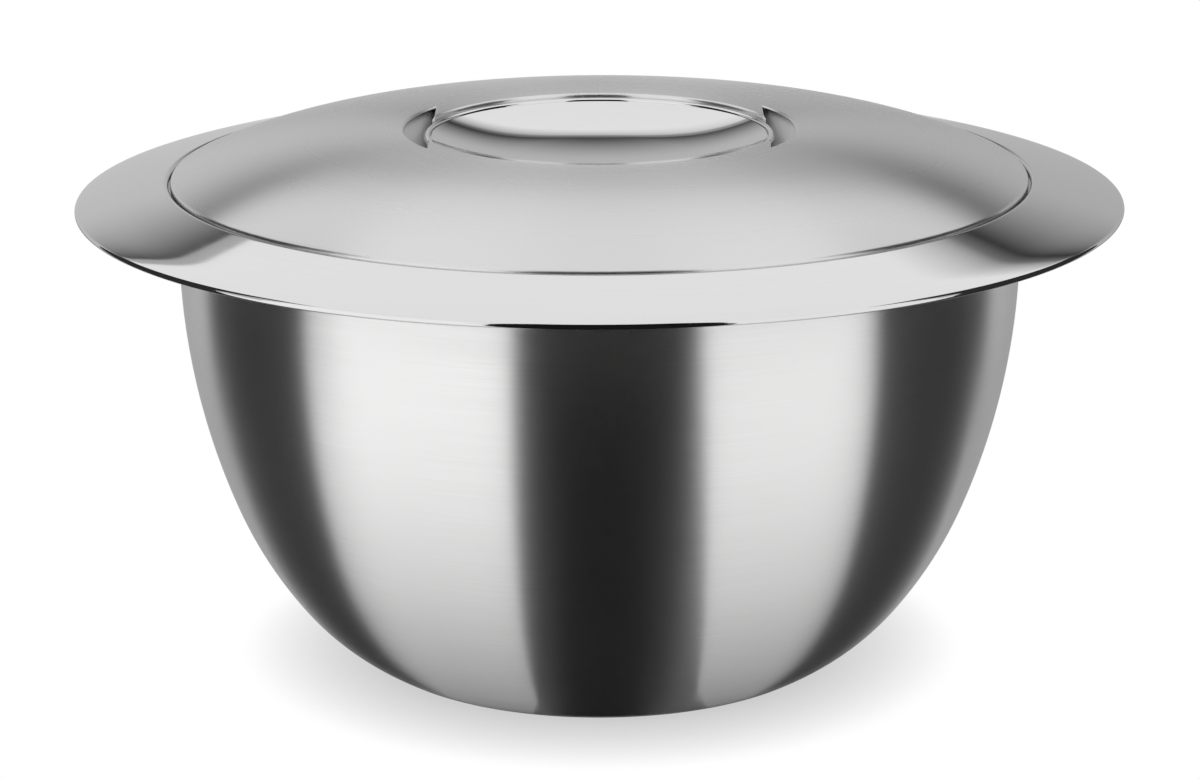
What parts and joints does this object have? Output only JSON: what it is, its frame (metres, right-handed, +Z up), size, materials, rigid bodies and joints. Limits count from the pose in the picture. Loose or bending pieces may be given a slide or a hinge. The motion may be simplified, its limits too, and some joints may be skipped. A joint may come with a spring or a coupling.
{
  "type": "insulated serving bowl with lid",
  "caption": "Round double-walled steel serving bowl with a wide sloping brim and a domed lift-off lid that sits inside the brim and has a dished finger grip.",
  "frame": {"origin": "centre of the base, on the plane that the bowl stands on", "axes": "+Z up along the bowl's axis; the lid's grip bridge runs along Y, so its two finger openings are at +X and -X; the picture looks along +Y"},
  "size_m": [0.3, 0.3, 0.1556],
  "materials": {
    "brushed_steel": "satin",
    "satin_steel": "satin",
    "polished_steel": "polished",
    "insulating_foam": "matte",
    "seal_silicone": "satin",
    "plug_plastic": "matte"
  },
  "bodies": {
    "bowl": {"bowl_outer_shell": "brushed_steel", "bowl_inner_shell": "satin_steel", "bowl_foam": "insulating_foam", "brim_ring": "polished_steel", "base_port_plug": "plug_plastic"},
    "lid": {"lid_cover": "polished_steel", "lid_pan": "satin_steel", "lid_foam": "insulating_foam", "lid_seal": "seal_silicone", "finger_well": "polished_steel", "grip_plate": "polished_steel", "lid_port_plug": "plug_plastic"}
  },
  "joints": [
    {"name": "lid_lift", "type": "slide", "parent": "bowl", "child": "lid", "axis": [0, 0, 1], "range_m": [0, 0.2]}
  ]
}
